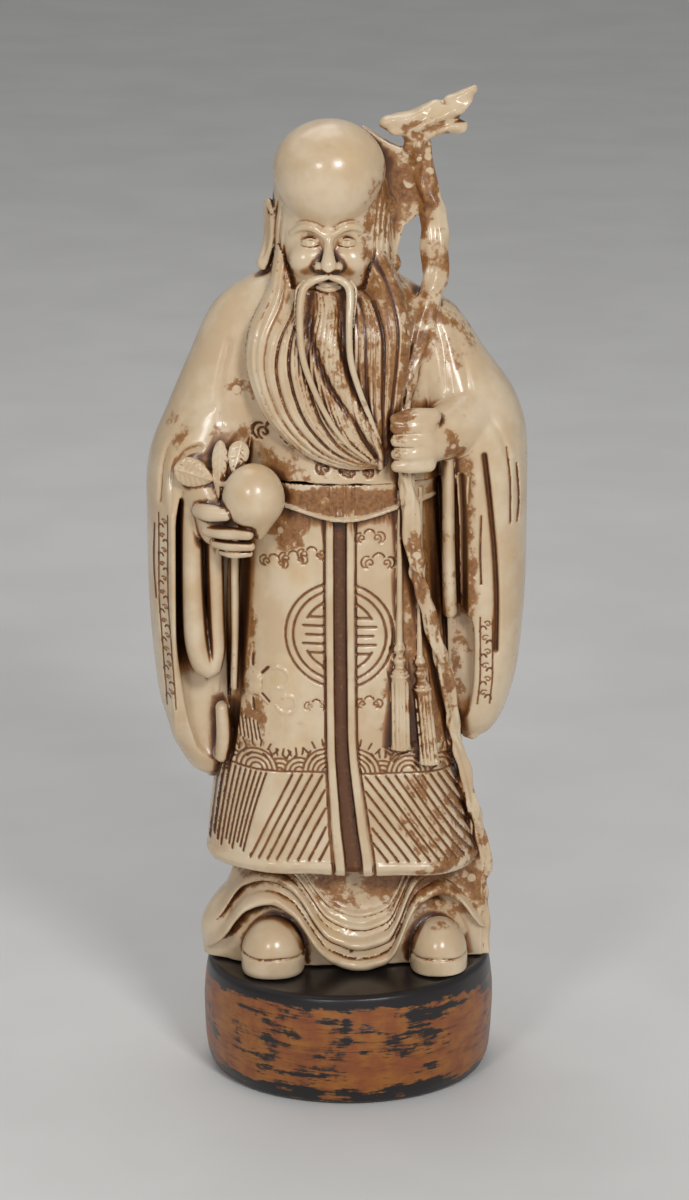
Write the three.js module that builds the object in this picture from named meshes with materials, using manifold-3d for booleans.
// A moulded figure of a bearded old man with a gnarled staff and a peach, on a turned wooden plinth.
// Millimetres, +Z up. The figure faces -Y and +X is the viewer's right. The origin is the centre of the
// plinth's underside. Depths called front reach towards -Y and depths called back towards +Y.
import * as THREE from "three";
import { mergeVertices } from "three/addons/utils/BufferGeometryUtils.js";
import Module from "manifold-3d";

// Driving dimensions
const PLINTH_RADIUS = 22.9;
const PLINTH_HEIGHT = 18;
const PLINTH_TOP_SLOPE = 0.022; // the top face is cut a little askew and rises towards +X
const SEAT_GAP = 0.3; // between the plinth's top and the figure's base
const HEM_HEIGHT = 35.3;
const HEM_SLOPE = -0.05; // the robe hangs a little lower on the viewer's right
const BELT_HEIGHT = 94;
const FACE_X = -3; // the head's middle plane
const FACE_WIDTH = 13.6;
const BROW_HEIGHT = 136;

const wasm = await Module();
wasm.setup();

// Solids and booleans

function solid(geometry) {
  const plain = geometry.clone();
  for (const name of ["normal", "uv"]) plain.deleteAttribute(name);
  const merged = mergeVertices(plain, 1e-4);
  return new wasm.Manifold(
    new wasm.Mesh({
      numProp: 3,
      vertProperties: merged.attributes.position.array,
      triVerts: new Uint32Array(merged.index.array),
    }),
  );
}

function union(parts) {
  return parts.reduce((sum, next) => sum.add(next));
}

function geometryOf(made) {
  const { numProp, vertProperties, triVerts } = made.getMesh();
  const count = vertProperties.length / numProp;
  const position = new Float32Array(count * 3);
  for (let i = 0; i < count; i++) {
    position.set(vertProperties.subarray(i * numProp, i * numProp + 3), i * 3);
  }
  const geometry = new THREE.BufferGeometry();
  geometry.setAttribute("position", new THREE.BufferAttribute(position, 3));
  geometry.setIndex(new THREE.BufferAttribute(new Uint32Array(triVerts), 1));
  geometry.computeVertexNormals();
  return geometry;
}

// Skins rings of equal count, which run counterclockwise seen from the last ring, and closes both ends.
function loft(rings) {
  const count = rings[0].length;
  const points = rings.flat();
  const middle = (ring) =>
    ring.reduce((sum, p) => sum.add(p), new THREE.Vector3()).divideScalar(count);
  const first = points.push(middle(rings[0])) - 1;
  const last = points.push(middle(rings.at(-1))) - 1;
  const index = [];
  for (let j = 0; j < rings.length - 1; j++) {
    for (let i = 0; i < count; i++) {
      const a = j * count + i;
      const b = j * count + ((i + 1) % count);
      index.push(a, b, b + count, a, b + count, a + count);
    }
  }
  const top = (rings.length - 1) * count;
  for (let i = 0; i < count; i++) {
    const next = (i + 1) % count;
    index.push(first, next, i, last, top + i, top + next);
  }
  return new THREE.BufferGeometry().setFromPoints(points).setIndex(index);
}

// Numbers

const smoothstep = (low, high, value) => {
  const t = THREE.MathUtils.clamp((value - low) / (high - low), 0, 1);
  return t * t * (3 - 2 * t);
};

const bump = (value, centre, width) => Math.exp(-(((value - centre) / width) ** 2));

// Reads a table of rows whose first number rises, and returns a function that interpolates the others
// with a curve that never overshoots a row.
function reader(rows) {
  const slopes = rows[0].map((_, column) =>
    rows.map((row, i) => {
      if (i === 0 || i === rows.length - 1) return 0;
      const before = (row[column] - rows[i - 1][column]) / (row[0] - rows[i - 1][0]);
      const after = (rows[i + 1][column] - row[column]) / (rows[i + 1][0] - row[0]);
      return before * after > 0 ? (2 * before * after) / (before + after) : 0;
    }),
  );
  return (value) => {
    const at = THREE.MathUtils.clamp(value, rows[0][0], rows.at(-1)[0]);
    let i = 0;
    while (i < rows.length - 2 && at > rows[i + 1][0]) i++;
    const span = rows[i + 1][0] - rows[i][0];
    const t = (at - rows[i][0]) / span;
    return rows[i].slice(1).map((from, k) => {
      const to = rows[i + 1][k + 1];
      const [m0, m1] = [slopes[k + 1][i] * span, slopes[k + 1][i + 1] * span];
      const cubic = 2 * (from - to) + m0 + m1;
      return from + t * (m0 + t * (3 * (to - from) - 2 * m0 - m1 + t * cubic));
    });
  };
}

// Forms

// Directions around a section, closer together at the front, which is the side from half a turn on
function directions(sides) {
  const atBack = Math.round(0.38 * sides);
  const atFront = sides - atBack;
  return Array.from({ length: sides }, (_, i) =>
    i < atBack ? (Math.PI * i) / atBack : Math.PI * (1 + (i - atBack) / atFront),
  );
}

// A body of stacked sections. Each row is height, middle x, half width, front depth, back depth. A section
// is a superellipse of the given squareness. relief(x, z) pushes its front out, and pleats(x, z) its back.
function stack(rows, options) {
  const { sides, square = () => 2.3, middleY = 0, lean = 0 } = options;
  const { relief = () => 0, pleats = () => 0 } = options;
  const rings = rows.map(([z, x, halfWidth, front, back]) => {
    const power = square(z);
    return directions(sides).map((angle) => {
      const [c, s] = [Math.cos(angle), Math.sin(angle)];
      const k = (Math.abs(c) ** power + Math.abs(s) ** power) ** (1 / power);
      const px = x + (halfWidth * c) / k;
      const pushed = (s < 0 ? -relief(px, z) : pleats(px, z)) * smoothstep(0.15, 0.7, Math.abs(s));
      const py = middleY + ((s < 0 ? front : back) * s) / k + pushed;
      return new THREE.Vector3(px, py, z + lean * (px - x));
    });
  });
  return loft(rings);
}

// A round bar along a smooth curve. Each point is x, y, z, radius. flat squeezes the bar along Y.
function bar(points, { steps, sides = 8, flat = 1, knots = () => 1 }) {
  const curve = new THREE.CatmullRomCurve3(points.map((p) => new THREE.Vector3(...p)));
  const radii = reader(points.map((p, i) => [i, p[3]]));
  const rings = [];
  const across = new THREE.Vector3(0, 1, 0);
  for (let j = 0; j <= steps; j++) {
    const share = j / steps;
    const centre = curve.getPoint(share);
    const along = curve.getTangent(share);
    const side = new THREE.Vector3().crossVectors(across, along).normalize();
    const out = new THREE.Vector3().crossVectors(along, side).normalize();
    const round = Math.sqrt(Math.min(1, 0.3 + 3 * Math.min(j, steps - j)));
    const radius = radii(share * (points.length - 1))[0] * round;
    const ring = [];
    for (let i = 0; i < sides; i++) {
      const angle = (2 * Math.PI * i) / sides;
      const r = radius * knots(share, angle);
      const p = centre.clone().addScaledVector(side, r * Math.cos(angle));
      ring.push(p.addScaledVector(out, r * flat * Math.sin(angle)));
    }
    rings.push(ring);
  }
  return loft(rings);
}

// An ellipsoid, which shape(point) may change before it is put in place.
function ball([x, y, z], [rx, ry, rz], { across = 14, down = 10, shape = (p) => p } = {}) {
  const geometry = new THREE.SphereGeometry(1, across, down).rotateX(Math.PI / 2);
  const position = geometry.attributes.position;
  const p = new THREE.Vector3();
  for (let i = 0; i < position.count; i++) {
    shape(p.fromBufferAttribute(position, i));
    position.setXYZ(i, x + rx * p.x, y + ry * p.y, z + rz * p.z);
  }
  return geometry;
}

// A flat plate: an outline in x and z, which runs from the front face to the back face along Y.
function plate(outline, front, back) {
  const shape = new THREE.Shape(outline.map(([x, z]) => new THREE.Vector2(x, z)));
  const options = { depth: back - front, bevelEnabled: false };
  return new THREE.ExtrudeGeometry(shape, options).rotateX(Math.PI / 2).translate(0, back, 0);
}

// The plinth

function plinth() {
  const bottom = PLINTH_RADIUS - 1.7;
  const rim = PLINTH_RADIUS - 0.6;
  const profile = [
    [0, 0],
    [bottom - 0.6, 0],
    [bottom + 0.3, 0.6],
    [bottom + 1.2, 3],
    [PLINTH_RADIUS - 0.1, 7],
    [PLINTH_RADIUS, 11],
    [rim + 0.3, 15],
    [rim, 17],
    [rim - 0.7, PLINTH_HEIGHT],
    [0, PLINTH_HEIGHT],
  ].map(([radius, z]) => new THREE.Vector2(radius, z));
  const geometry = new THREE.LatheGeometry(profile, 36).rotateX(Math.PI / 2);
  const position = geometry.attributes.position;
  for (let i = 0; i < position.count; i++) {
    const z = position.getZ(i);
    const sheared = z + (z / PLINTH_HEIGHT) * PLINTH_TOP_SLOPE * position.getX(i);
    position.setZ(i, sheared);
  }
  return solid(geometry);
}

// The robe: height, middle x, half width, front, back

const ROBE = [
  [HEM_HEIGHT, -0.9, 20.7, 14.1, 11.2],
  [HEM_HEIGHT + 1.2, -0.9, 21.2, 14.6, 11.6],
  [45, -1.4, 19.8, 14.1, 11.3],
  [54, -1.6, 18.2, 13.8, 11],
  [66, -1.4, 16.8, 13.5, 10.8],
  [80, -1.2, 15.8, 13.2, 10.6],
  [BELT_HEIGHT, -1, 15.2, 12.8, 10.5],
  [99, -1, 15.6, 12, 10.5],
  [107, -1.6, 17.7, 11.2, 10.4],
  [115, -2.1, 18.8, 10.2, 9.7],
  [121, -2.6, 17.6, 8.7, 8.8],
  [125.5, -3, 13.8, 7.4, 7.9],
  [129, -3, 9, 6.2, 6.6],
];
const readRobe = reader(ROBE);
const robeSquare = (z) => 3.1 - 0.8 * smoothstep(60, 100, z);
const SLIT = reader([
  [HEM_HEIGHT, 0.6],
  [60, -0.3],
  [86, -0.5],
]);
const SLIT_TOP = BELT_HEIGHT - 3;

// The depth of the robe's front at a place
function robeFront(x, z) {
  const [middle, halfWidth, front] = readRobe(z);
  const power = robeSquare(z);
  const share = Math.min(1, Math.abs(x - middle) / halfWidth);
  return -front * (1 - share ** power) ** (1 / power);
}

// A strip down the front of the robe, from one offset beside the slit to another, between two depths
// measured outwards from the robe's front.
function strip(from, to, inner, outer, low) {
  const heights = [low, 45, 58, 72, SLIT_TOP];
  const rings = heights.map((z) => {
    const [middle] = SLIT(z);
    const widen = 1 + 0.25 * smoothstep(60, HEM_HEIGHT, z);
    const [, , front] = readRobe(z);
    const corner = (offset, depth) => new THREE.Vector3(middle + offset * widen, -front - depth, z);
    return [corner(from, outer), corner(to, outer), corner(to, inner), corner(from, inner)];
  });
  return solid(loft(rings));
}

function robe() {
  const drape = (x, z) => {
    const skirt = smoothstep(BELT_HEIGHT, 50, z);
    return 0.3 * skirt * Math.cos((2 * Math.PI * (x - 1)) / 13);
  };
  const pleats = (x, z) => 0.7 * smoothstep(110, 50, z) * Math.cos((2 * Math.PI * (x + 1)) / 9.5);
  const body = solid(
    stack(ROBE, { sides: 30, square: robeSquare, relief: drape, pleats, lean: HEM_SLOPE }),
  );
  const [slitDepth, proud, sunk, half, border] = [1.1, 0.7, -1.5, 1.1, 3.1];
  const borders = [
    strip(-border, -half, sunk, proud, HEM_HEIGHT),
    strip(half, border, sunk, proud, HEM_HEIGHT),
  ];
  return union([body, ...borders]).subtract(strip(-half, half, -slitDepth, 4, HEM_HEIGHT - 2));
}

// The girdle: a flat band around the front, whose lower edge dips in the middle and stands proud
function girdle() {
  const rings = [-14.5, -10, -5.5, -0.5, 4.5, 9, 13].map((x) => {
    const low = BELT_HEIGHT - 2.4 * Math.cos((Math.PI * (x + 0.5)) / 30) ** 3;
    const high = BELT_HEIGHT + 3.2;
    const at = (z, proud) => new THREE.Vector3(x, robeFront(x, z) - proud, z);
    return [at(high, 0.4), at(low + 0.6, 0.7), at(low, 1.1), at(low - 0.4, -1.5), at(high, -1.5)];
  });
  return solid(loft(rings));
}

// The under robe: rings follow its swags, which arch over the shoes and dip between them.

const SHOE_X = [-11.9, 13.8];
const SWAG_LENGTH = SHOE_X[1] - SHOE_X[0];
const swag = (x) => Math.cos((2 * Math.PI * (x - SHOE_X[1])) / SWAG_LENGTH);

function underRobe() {
  // mean height, arch, half width, front, back
  const rings = [
    [15.5, 0, 22.3, 10.6, 11.6],
    [19, 0, 22.6, 11, 12],
    [22.4, 4.3, 23, 12.6, 12.2],
    [24.6, 4.7, 22.2, 11.2, 11.8],
    [25.8, 4.5, 21.6, 12.2, 11.6],
    [27, 4.3, 20.6, 10.5, 11.2],
    [28.2, 4.2, 19.8, 11.3, 11],
    [29.4, 4, 18.8, 9.8, 10.6],
    [38, 0, 16.5, 10.6, 10],
  ];
  const middle = -0.4;
  const round = 0.85;
  const points = rings.map(([mean, arch, halfWidth, front, back]) =>
    directions(31).map((angle) => {
      const [c, s] = [Math.cos(angle), Math.sin(angle)];
      const x = middle + halfWidth * Math.sign(c) * Math.abs(c) ** round;
      const y = (s < 0 ? front : back) * Math.sign(s) * Math.abs(s) ** round;
      return new THREE.Vector3(x, y, mean + arch * swag(x) * smoothstep(0.25, -0.5, s));
    }),
  );
  return solid(loft(points));
}

// A shoe: a sole band with a rounded toe above it
function shoe(x) {
  const middleY = -8.4;
  const halfWidth = 5.2;
  const soleTop = PLINTH_HEIGHT + 2.6;
  const rows = [
    [PLINTH_HEIGHT - 2, x, halfWidth - 0.3, 5.7, 5],
    [PLINTH_HEIGHT + 0.8, x, halfWidth, 6, 5],
    [soleTop, x, halfWidth - 0.1, 5.9, 5],
    [soleTop + 0.5, x, halfWidth - 0.7, 5.2, 5],
    [soleTop + 3.2, x, halfWidth - 1, 4.6, 5],
    [soleTop + 5, x, halfWidth - 2.2, 3.2, 5],
    [soleTop + 5.8, x, halfWidth - 3.8, 1.4, 4],
  ];
  return solid(stack(rows, { sides: 14, square: () => 2.2, middleY }));
}

// Sleeves: each runs from the shoulder, over the bent arm, and down to its hanging corner.
// Height, middle x, half width, front, back

const LEFT_SLEEVE = [
  [47.7, -21, 1.3, 2.8, 1],
  [49.4, -21.6, 3.1, 5.2, 2.7],
  [54, -22.5, 4.8, 7.6, 4.7],
  [63, -24, 5.8, 9.3, 6.2],
  [78, -24.8, 6.2, 10.5, 7.2],
  [94, -24.3, 6.9, 11.6, 8.3],
  [101, -22, 8.3, 10.8, 9],
  [107, -19.2, 8.6, 9, 9.2],
  [116, -15.9, 8.1, 7.4, 8.4],
  [122, -13.8, 7.4, 6.2, 7],
  [125.7, -11.4, 6, 4.6, 5.2],
  [127.4, -9.2, 2.6, 2.4, 2.6],
];
const RIGHT_SLEEVE = [
  [53.9, 19, 1.2, 2.6, 1],
  [55.3, 19.3, 3, 4.8, 2.6],
  [59, 19.8, 4.7, 7, 4.4],
  [67, 20.5, 6, 9, 6],
  [80, 20.9, 6.6, 10.3, 7.3],
  [95, 20.6, 7, 11.4, 8.2],
  [103, 19.6, 7.8, 11.4, 9],
  [108.5, 17.6, 8.2, 9.6, 9.2],
  [116, 13.2, 7.5, 7.4, 8.1],
  [121.8, 10, 6.8, 5.8, 6.6],
  [124.6, 7.8, 5, 4.2, 4.8],
  [126.2, 6, 2.4, 2.2, 2.4],
];

// A pocket for a sleeve's opening. Rows as for the sleeves
function pocket(rows, middleY) {
  return solid(stack(rows, { sides: 10, square: () => 3, middleY }));
}

function leftSleeve() {
  const folds = (x, z) => {
    const rolled = 0.9 * bump(x, -25.6, 1.6) * smoothstep(52, 60, z) * smoothstep(104, 94, z);
    const elbow = 0.6 * Math.cos((z + 0.9 * x - 84) * 1.1) * bump(z + 0.4 * x, 94, 9);
    return rolled + elbow * smoothstep(-16, -20, x);
  };
  const outer = solid(stack(LEFT_SLEEVE, { sides: 21, relief: folds }));
  const opening = pocket(
    [
      [51.5, -19.6, 1.6, 8, 3],
      [56, -19.8, 2.8, 8, 4],
      [66, -20, 3.4, 8, 5],
      [84, -20.2, 3.5, 8, 5],
      [96, -19.8, 3, 8, 4],
    ],
    -8,
  );
  const inner = bar(
    [
      [-21, -8.6, 95, 2],
      [-21.3, -8.4, 84, 2.1],
      [-21.1, -8, 73, 2.2],
      [-20.1, -7.6, 66.6, 1.7],
    ],
    { steps: 5, sides: 8, flat: 1.4 },
  );
  const inmost = bar(
    [
      [-18.2, -7.6, 92, 1.2],
      [-18.3, -7.2, 80, 1.2],
      [-18.7, -6.8, 68.5, 1.2],
    ],
    { steps: 2, sides: 6, flat: 1.5 },
  );
  return union([outer.subtract(opening), solid(inner), solid(inmost)]);
}

function rightSleeve() {
  const folds = (x, z) => {
    const hung = smoothstep(58, 70, z);
    const spread = (z - 60) / 45; // folds gather towards the wrist
    const creases = [
      [15, 1.1, 1.2],
      [18.6 + 0.4 * spread, 1.1, 1.1],
      [21.6 + 0.8 * spread, 0.9, 0.8],
      [24.4 + 0.6 * spread, 0.9, 0.6],
    ];
    return hung * creases.reduce((sum, [at, width, high]) => sum + high * bump(x, at, width), 0);
  };
  const outer = solid(stack(RIGHT_SLEEVE, { sides: 27, relief: folds }));
  const opening = pocket(
    [
      [57, 16.9, 1, 8, 3],
      [62, 16.9, 1.7, 8, 3],
      [86, 16.6, 1.4, 8, 3],
      [101, 16.4, 0.6, 8, 1],
    ],
    -8,
  );
  return outer.subtract(opening);
}

// The forearms, which come forward out of the sleeves to the hands
function forearms() {
  return [
    [
      [-23, -4, 99, 6],
      [-21.5, -9, 96, 4.6],
      [-19.6, -12, 92.5, 3.2],
    ],
    [
      [19, -3, 107, 6],
      [16.5, -8.5, 105.5, 4.6],
      [12.8, -12, 104.4, 3.6],
    ],
  ].map((points) => solid(bar(points, { steps: 2, sides: 6 })));
}

// What closes the gaps between the hanging sleeves and the robe
function gussets() {
  const left = [
    [51, -20, 3, 2, 3],
    [75, -20, 4.5, 3, 4],
    [100, -18, 5, 3, 5],
  ];
  const right = [
    [57, 17, 2.5, 2, 3],
    [80, 16, 4, 3, 4],
    [104, 15, 5, 3, 5],
  ];
  return [left, right].map((rows) => solid(stack(rows, { sides: 8 })));
}

// Head, ears and face

const HEAD = [
  [122, FACE_X, 6, 8.6, 6],
  [129, FACE_X, 7.1, 10, 7.8],
  [135, FACE_X, 7.3, 9.8, 8.6],
  [138, FACE_X, 7.8, 9.6, 8.8],
  [143, FACE_X, 8.2, 9.8, 8.6],
  [147.5, FACE_X, 6.9, 8, 6.8],
  [150.3, FACE_X, 3, 4.4, 3.4],
];
const EYE = FACE_WIDTH / 5; // the width of one eye, and of the space between the eyes
const FACE_THIRD = (FACE_WIDTH * 1.38) / 3; // brow to nose base, and nose base to chin
const NOSE_BASE = BROW_HEIGHT - FACE_THIRD;

function head() {
  const skull = stack(HEAD, { sides: 14, square: () => 2.1 });
  const forehead = ball([FACE_X + 0.1, -5, 144.2], [8.5, 8.6, 7.7], { across: 16, down: 9 });
  return solid(skull).add(solid(forehead));
}

function face() {
  const nose = bar(
    [
      [FACE_X, -9.6, BROW_HEIGHT - 0.8, 0.8],
      [FACE_X, -10.8, BROW_HEIGHT - FACE_THIRD * 0.5, 0.9],
      [FACE_X, -11.8, NOSE_BASE + 0.9, 1.5],
      [FACE_X, -10.8, NOSE_BASE, 0.9],
    ],
    { steps: 4, sides: 6, flat: 0.8 },
  );
  const parts = [nose];
  for (const side of [-1, 1]) {
    const eyeX = FACE_X + side * EYE;
    const brow = [
      [FACE_X + side * 1, -9.7, BROW_HEIGHT - 0.5, 0.5],
      [eyeX, -9.3, BROW_HEIGHT + 0.3, 0.8],
      [eyeX + side * 2, -8.4, BROW_HEIGHT - 0.4, 0.6],
    ];
    const eyeZ = BROW_HEIGHT - FACE_THIRD * 0.36;
    parts.push(
      ball([eyeX + side * 0.4, -8, NOSE_BASE + 1.2], [2.7, 1.7, 2.4], { across: 7, down: 5 }),
      ball([eyeX, -9.1, eyeZ], [EYE / 2, 0.9, 0.8], { across: 6, down: 4 }),
      bar(brow, { steps: 2, sides: 5 }),
    );
  }
  return parts.map(solid);
}

function ear(side) {
  const root = FACE_X + side * 7.9;
  const points = [
    [root + side * 0.5, -0.4, 139, 0.8],
    [root + side * 0.9, -0.6, 136.6, 1.5],
    [root + side * 0.8, -1, 133.4, 1.1],
    [root + side * 1.2, -1.4, 130.6, 1.1],
    [root + side * 1.9, -1.6, 127.6, 1.4],
  ];
  return solid(bar(points, { steps: 6, sides: 6, flat: 1.7 }));
}

// The beard runs between two edges that meet at its tip, and its locks follow them. It leaves the face
// open above the chin. Points are x, z.

const BEARD_LEFT = [
  [-10.3, 133],
  [-12.2, 126.6],
  [-14.9, 120.7],
  [-15.3, 114.7],
  [-12.6, 107.6],
  [-7.3, 102.3],
  [-1, 99.9],
  [5.2, 100],
];
const BEARD_RIGHT = [
  [4.3, 133],
  [7.2, 128.4],
  [9.1, 122.5],
  [9.2, 117],
  [8.5, 111.5],
  [7.7, 107.4],
  [6.8, 104],
  [5.9, 100.6],
];

function beard() {
  const edge = (points) =>
    new THREE.CatmullRomCurve3(points.map(([x, z]) => new THREE.Vector3(x, 0, z)));
  const [left, right] = [edge(BEARD_LEFT), edge(BEARD_RIGHT)];
  const depth = reader([
    [0, 8.4, 6],
    [0.12, 10, 7],
    [0.3, 11.6, 8],
    [0.5, 12.2, 9],
    [0.8, 12.8, 10.5],
    [1, 13.4, 12.6],
  ]);
  const [locks, levels, acrossFront, acrossBack] = [6, 10, 24, 2];
  const rings = [];
  for (let j = 0; j <= levels; j++) {
    const t = j / levels;
    const [a, b] = [left.getPoint(t), right.getPoint(t)];
    const [edgeDepth, backDepth] = depth(t);
    const open = 6.4 * (1 - t) ** 4;
    const swell = Math.min(3.4, 0.19 * a.distanceTo(b)) * smoothstep(-0.15, 0.3, t);
    const at = (u, y) => {
      const lowered = open * Math.min(1, 8 * u * (1 - u)) ** 2;
      return new THREE.Vector3(a.x + (b.x - a.x) * u, y, a.z + (b.z - a.z) * u - lowered);
    };
    const ring = [];
    for (let i = 0; i <= acrossFront; i++) {
      const u = i / acrossFront;
      const arch = Math.sqrt(4 * u * (1 - u));
      const lock = 0.4 * arch * Math.min(1, swell / 2) * Math.cos(2 * Math.PI * locks * u);
      ring.push(at(u, -edgeDepth - swell * arch + lock));
    }
    for (let i = 0; i < acrossBack; i++) {
      ring.push(at(1 - (i + 0.5) / acrossBack, -edgeDepth + backDepth));
    }
    rings.push(ring);
  }
  return solid(loft(rings.reverse()));
}

function moustache() {
  const strands = [
    [
      [FACE_X - 0.2, -12.4, NOSE_BASE - 0.7, 0.5],
      [-6.2, -12.8, NOSE_BASE - 2.2, 0.9],
      [-7.1, -14.4, 120.6, 0.9],
      [-5.9, -15.7, 114.4, 0.8],
      [-1.8, -16.1, 107.2, 0.7],
      [3.5, -15.1, 101.6, 0.4],
    ],
    [
      [FACE_X + 0.2, -12.4, NOSE_BASE - 0.7, 0.5],
      [-0.1, -12.8, NOSE_BASE - 2.2, 0.9],
      [0.3, -14.4, 120.6, 0.9],
      [1.2, -15.7, 114.4, 0.8],
      [3.2, -15.6, 107.2, 0.65],
      [5.1, -14.7, 102, 0.35],
    ],
  ];
  return strands.map((points) => solid(bar(points, { steps: 7, sides: 5 })));
}

// Hands, peach and leaves

const STAFF_GRIP = [9.2, -11.6, 104.2];

// The fist around the staff: four curled fingers, under a thumb
function gripHand() {
  const [x, y, z] = STAFF_GRIP;
  const palm = ball([x + 1.6, y - 1.9, z], [3.6, 3.1, 4.5], { across: 9, down: 6 });
  const fingers = [3, 1.05, -0.9, -2.85].map((up, i) => {
    const curl = 0.35 * Math.abs(i - 1.5);
    const points = [
      [x + 1.6, y - 4.1 + curl, z + up, 1.15],
      [x - 1.8, y - 4.9 + curl, z + up, 1.25],
      [x - 3.7, y - 3.2, z + up, 1],
    ];
    return bar(points, { steps: 3, sides: 5 });
  });
  const thumb = [
    [x + 2.4, y - 2.4, z + 3.6, 1.4],
    [x - 0.8, y - 3.6, z + 4.6, 1.1],
    [x - 3.4, y - 3, z + 4.4, 0.8],
  ];
  return [palm, ...fingers, bar(thumb, { steps: 2, sides: 5 })].map(solid);
}

const PEACH = [-14.5, -15, 96.3];

function peachHand() {
  const [x, y, z] = PEACH;
  const palm = ball([x - 5.4, y + 3, z - 5], [3, 3.2, 3.8], { across: 8, down: 5 });
  const fingers = [
    [-7.2, 1, -2.7, -3.6, -2.4, -2.7, 1.25],
    [-7, 1.2, -5.7, 0.6, -3, -5.5, 1.2],
    [-6.4, 1.4, -7.6, 0.6, -1.8, -7.5, 1.05],
  ].map(([x0, y0, z0, x1, y1, z1, r]) =>
    bar(
      [
        [x + x0, y + y0, z + z0, r],
        [x + (x0 + x1) / 2 - 0.6, y + (y0 + y1) / 2 - 1.2, z + (z0 + z1) / 2, r * 1.05],
        [x + x1, y + y1, z + z1, r * 0.8],
      ],
      { steps: 3, sides: 6 },
    ),
  );
  return [palm, ...fingers].map(solid);
}

function peach() {
  const pointed = (p) => {
    const below = Math.max(0, -p.z);
    p.x += 0.1 * below;
    p.z -= 0.22 * below ** 4;
    p.z -= 0.18 * bump(Math.hypot(p.x, p.y), 0, 0.35) * (p.z > 0.6 ? 1 : 0);
    return p;
  };
  return solid(ball(PEACH, [5.1, 4.8, 5.2], { across: 15, down: 9, shape: pointed }));
}

// A leaf lies between its stem and its tip, with a raised edge on each side of its midrib.
function leaf(stem, tip, halfWidth) {
  const [from, to] = [new THREE.Vector3(...stem), new THREE.Vector3(...tip)];
  const out = new THREE.Vector3(0, -1, 0);
  const across = out.clone().cross(to.clone().sub(from)).normalize();
  const rings = [0.03, 0.35, 0.7, 0.97].map((t) => {
    const centre = from.clone().lerp(to, t);
    const width = halfWidth * Math.sin(Math.PI * t ** 0.8) + 0.15;
    const at = (side, high) =>
      centre.clone().addScaledVector(across, side * width).addScaledVector(out, high);
    return [at(1, 0.4), at(0.5, 0.9), at(0, 0.4), at(-0.5, 0.9), at(-1, 0.4), at(0, -1.4)];
  });
  return solid(loft(rings));
}

function leaves() {
  return [
    leaf([-19.8, -12.6, 97], [-25.4, -11.4, 100.4], 2.2),
    leaf([-18.8, -12.4, 98.4], [-22.4, -11, 103], 1.9),
    leaf([-17, -12.6, 99.5], [-14.6, -11, 103.4], 2),
  ];
}

// The staff, from its root-like head, through the fist, to the ground. Each point is x, y, z, radius.

const STAFF = [
  [10.2, -0.4, 148, 1.8],
  [10.8, -0.2, 143.7, 1.75],
  [12.3, -0.4, 140, 1.9],
  [13.6, -1, 136, 1.7],
  [14.1, -1.6, 131.5, 1.75],
  [13.8, -2.6, 127.4, 1.7],
  [12.9, -4.2, 123.4, 1.65],
  [11.6, -6, 119.6, 1.5],
  [10.2, -8, 115.4, 1.35],
  [9.2, -10, 111, 1.2],
  [...STAFF_GRIP, 1.2],
  [9.8, -11.8, 97.6, 1.3],
  [10.9, -11.4, 91, 1.3],
  [11.8, -11.2, 84.7, 1.3],
  [12.8, -11, 77, 1.35],
  [14.2, -10.2, 69, 1.4],
  [15.6, -9, 62, 1.35],
  [16.8, -7.8, 55.5, 1.4],
  [18.3, -6.2, 48, 1.4],
  [20, -4.6, 39.8, 1.45],
  [21.2, -3.6, 33.5, 1.5],
  [21, -3.2, 28, 1.3],
  [21.3, -3, 17, 1.5],
];

function staff() {
  const gnarled = (share, angle) =>
    1 + 0.14 * Math.sin(47 * share + 2 * angle) + 0.08 * Math.sin(91 * share);
  return solid(bar(STAFF, { steps: 26, sides: 5, knots: gnarled }));
}

function staffHead() {
  const branches = [
    [
      [5.9, -0.8, 151.2, 1.35],
      [8.6, -0.8, 151, 1.7],
      [12.2, -0.8, 151.6, 2.2],
      [15.4, -0.8, 153.1, 1.6],
      [18.3, -0.8, 155.2, 0.95],
    ],
    [
      [11.4, -0.8, 150.4, 1.9],
      [14.6, -0.8, 150, 1.3],
      [17.1, -0.8, 150.2, 1.05],
    ],
    [
      [11, -0.8, 151, 2.2],
      [10.4, -0.6, 148.4, 2],
      [10.1, -0.4, 146, 1.6],
    ],
  ];
  const ridged = (share, angle) => 1 + 0.1 * Math.sin(9 * share + 3 * angle);
  return branches.map((points) => solid(bar(points, { steps: 5, sides: 5, knots: ridged })));
}

// Webs left by the mould: one joins the head and the staff, one the robe and the staff's foot. x, z
function webs() {
  const upper = [
    [2, 150.3],
    [6.2, 147.6],
    [9.8, 146.2],
    [12.4, 141.4],
    [13.2, 137.4],
    [10.4, 136.6],
    [8.4, 134.8],
    [7.5, 131.4],
    [7.8, 126],
    [3, 126],
  ];
  const lower = [
    [12, 62],
    [15, 61],
    [18, 48],
    [20, 39.5],
    [21, 33],
    [21, 16],
    [12, 16],
  ];
  return [solid(plate(upper, -1, 1.2)), solid(plate(lower, -4.6, -0.6))];
}

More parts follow.
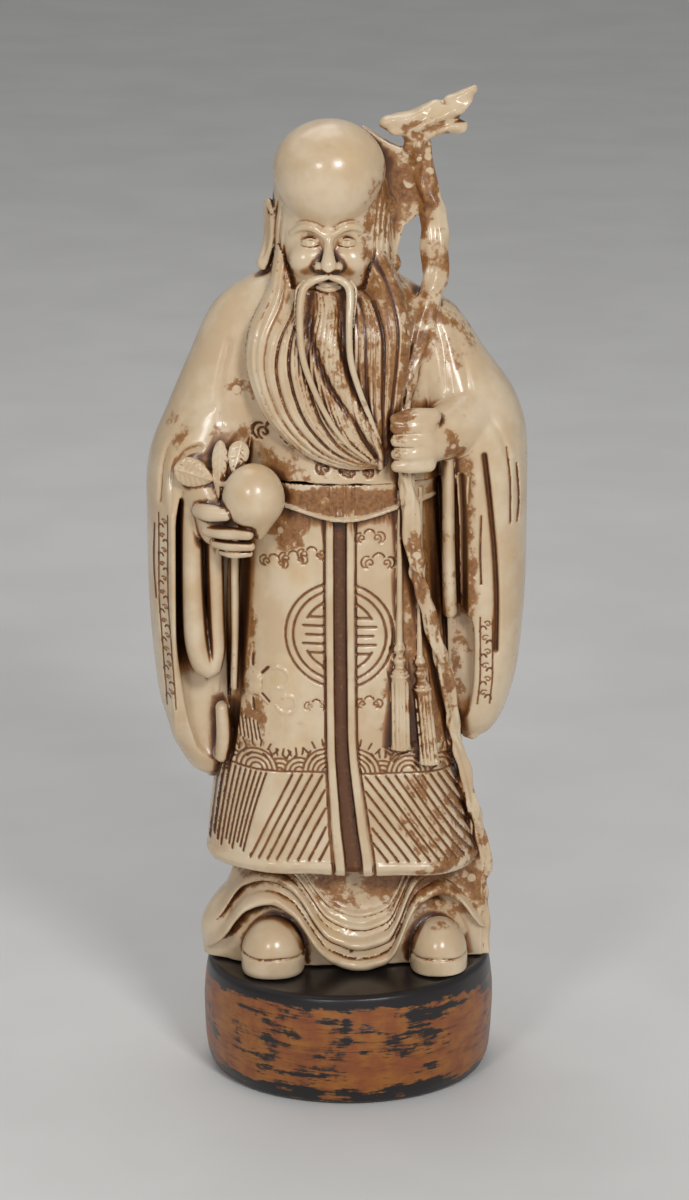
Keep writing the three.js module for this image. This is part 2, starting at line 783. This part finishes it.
// The two tassels: middle x, height of the upper bead, height of the fringe's lower end
const TASSELS = [
  [8.1, 71.6, 55.7],
  [12, 68.4, 52.8],
];

// A tassel on its cord, which lies against the robe
function tassel([x, top, bottom]) {
  // height, half width, depth
  const rows = [
    [bottom, 1.9, 1.6],
    [bottom + 1.8, 1.5, 1.4],
    [top - 4.4, 1.3, 1.3],
    [top - 3.4, 0.6, 0.7],
    [top - 2.3, 1.1, 1.2],
    [top - 1.3, 0.6, 0.7],
    [top - 0.2, 1, 1.1],
    [top + 0.9, 0.5, 0.6],
    [(top + BELT_HEIGHT) / 2, 0.5, 0.6],
    [BELT_HEIGHT + 1, 0.5, 0.6],
  ];
  const sides = 6;
  const rings = rows.map(([z, halfWidth, depth]) =>
    Array.from({ length: sides }, (_, i) => {
      const angle = (2 * Math.PI * i) / sides;
      const y = robeFront(x, z) + depth * (Math.sin(angle) - 0.2);
      return new THREE.Vector3(x + halfWidth * Math.cos(angle), y, z);
    }),
  );
  return solid(loft(rings));
}

// The whole figure, cut flat where it sits on the plinth

function figure() {
  const body = union([
    robe(),
    girdle(),
    underRobe(),
    ...SHOE_X.map(shoe),
    leftSleeve(),
    rightSleeve(),
    ...forearms(),
    ...gussets(),
    head(),
    ...face(),
    ear(-1),
    ear(1),
    beard(),
    ...moustache(),
    ...gripHand(),
    ...peachHand(),
    peach(),
    ...leaves(),
    staff(),
    ...staffHead(),
    ...webs(),
    ...TASSELS.map(tassel),
  ]);
  const reach = 60;
  const slab = new THREE.BoxGeometry(reach, reach, reach)
    .translate(0, 0, -reach / 2)
    .rotateY(-Math.atan(PLINTH_TOP_SLOPE))
    .translate(0, 0, PLINTH_HEIGHT + SEAT_GAP);
  return body.subtract(solid(slab));
}

function part(name, made, material) {
  const mesh = new THREE.Mesh(geometryOf(made), new THREE.MeshStandardMaterial(material));
  mesh.name = name;
  return mesh;
}

const group = new THREE.Group();
group.add(part("plinth", plinth(), { color: 0x7a3d16, roughness: 0.45, metalness: 0 }));
group.add(part("figure", figure(), { color: 0xdcc6a2, roughness: 0.35, metalness: 0 }));
export default group;
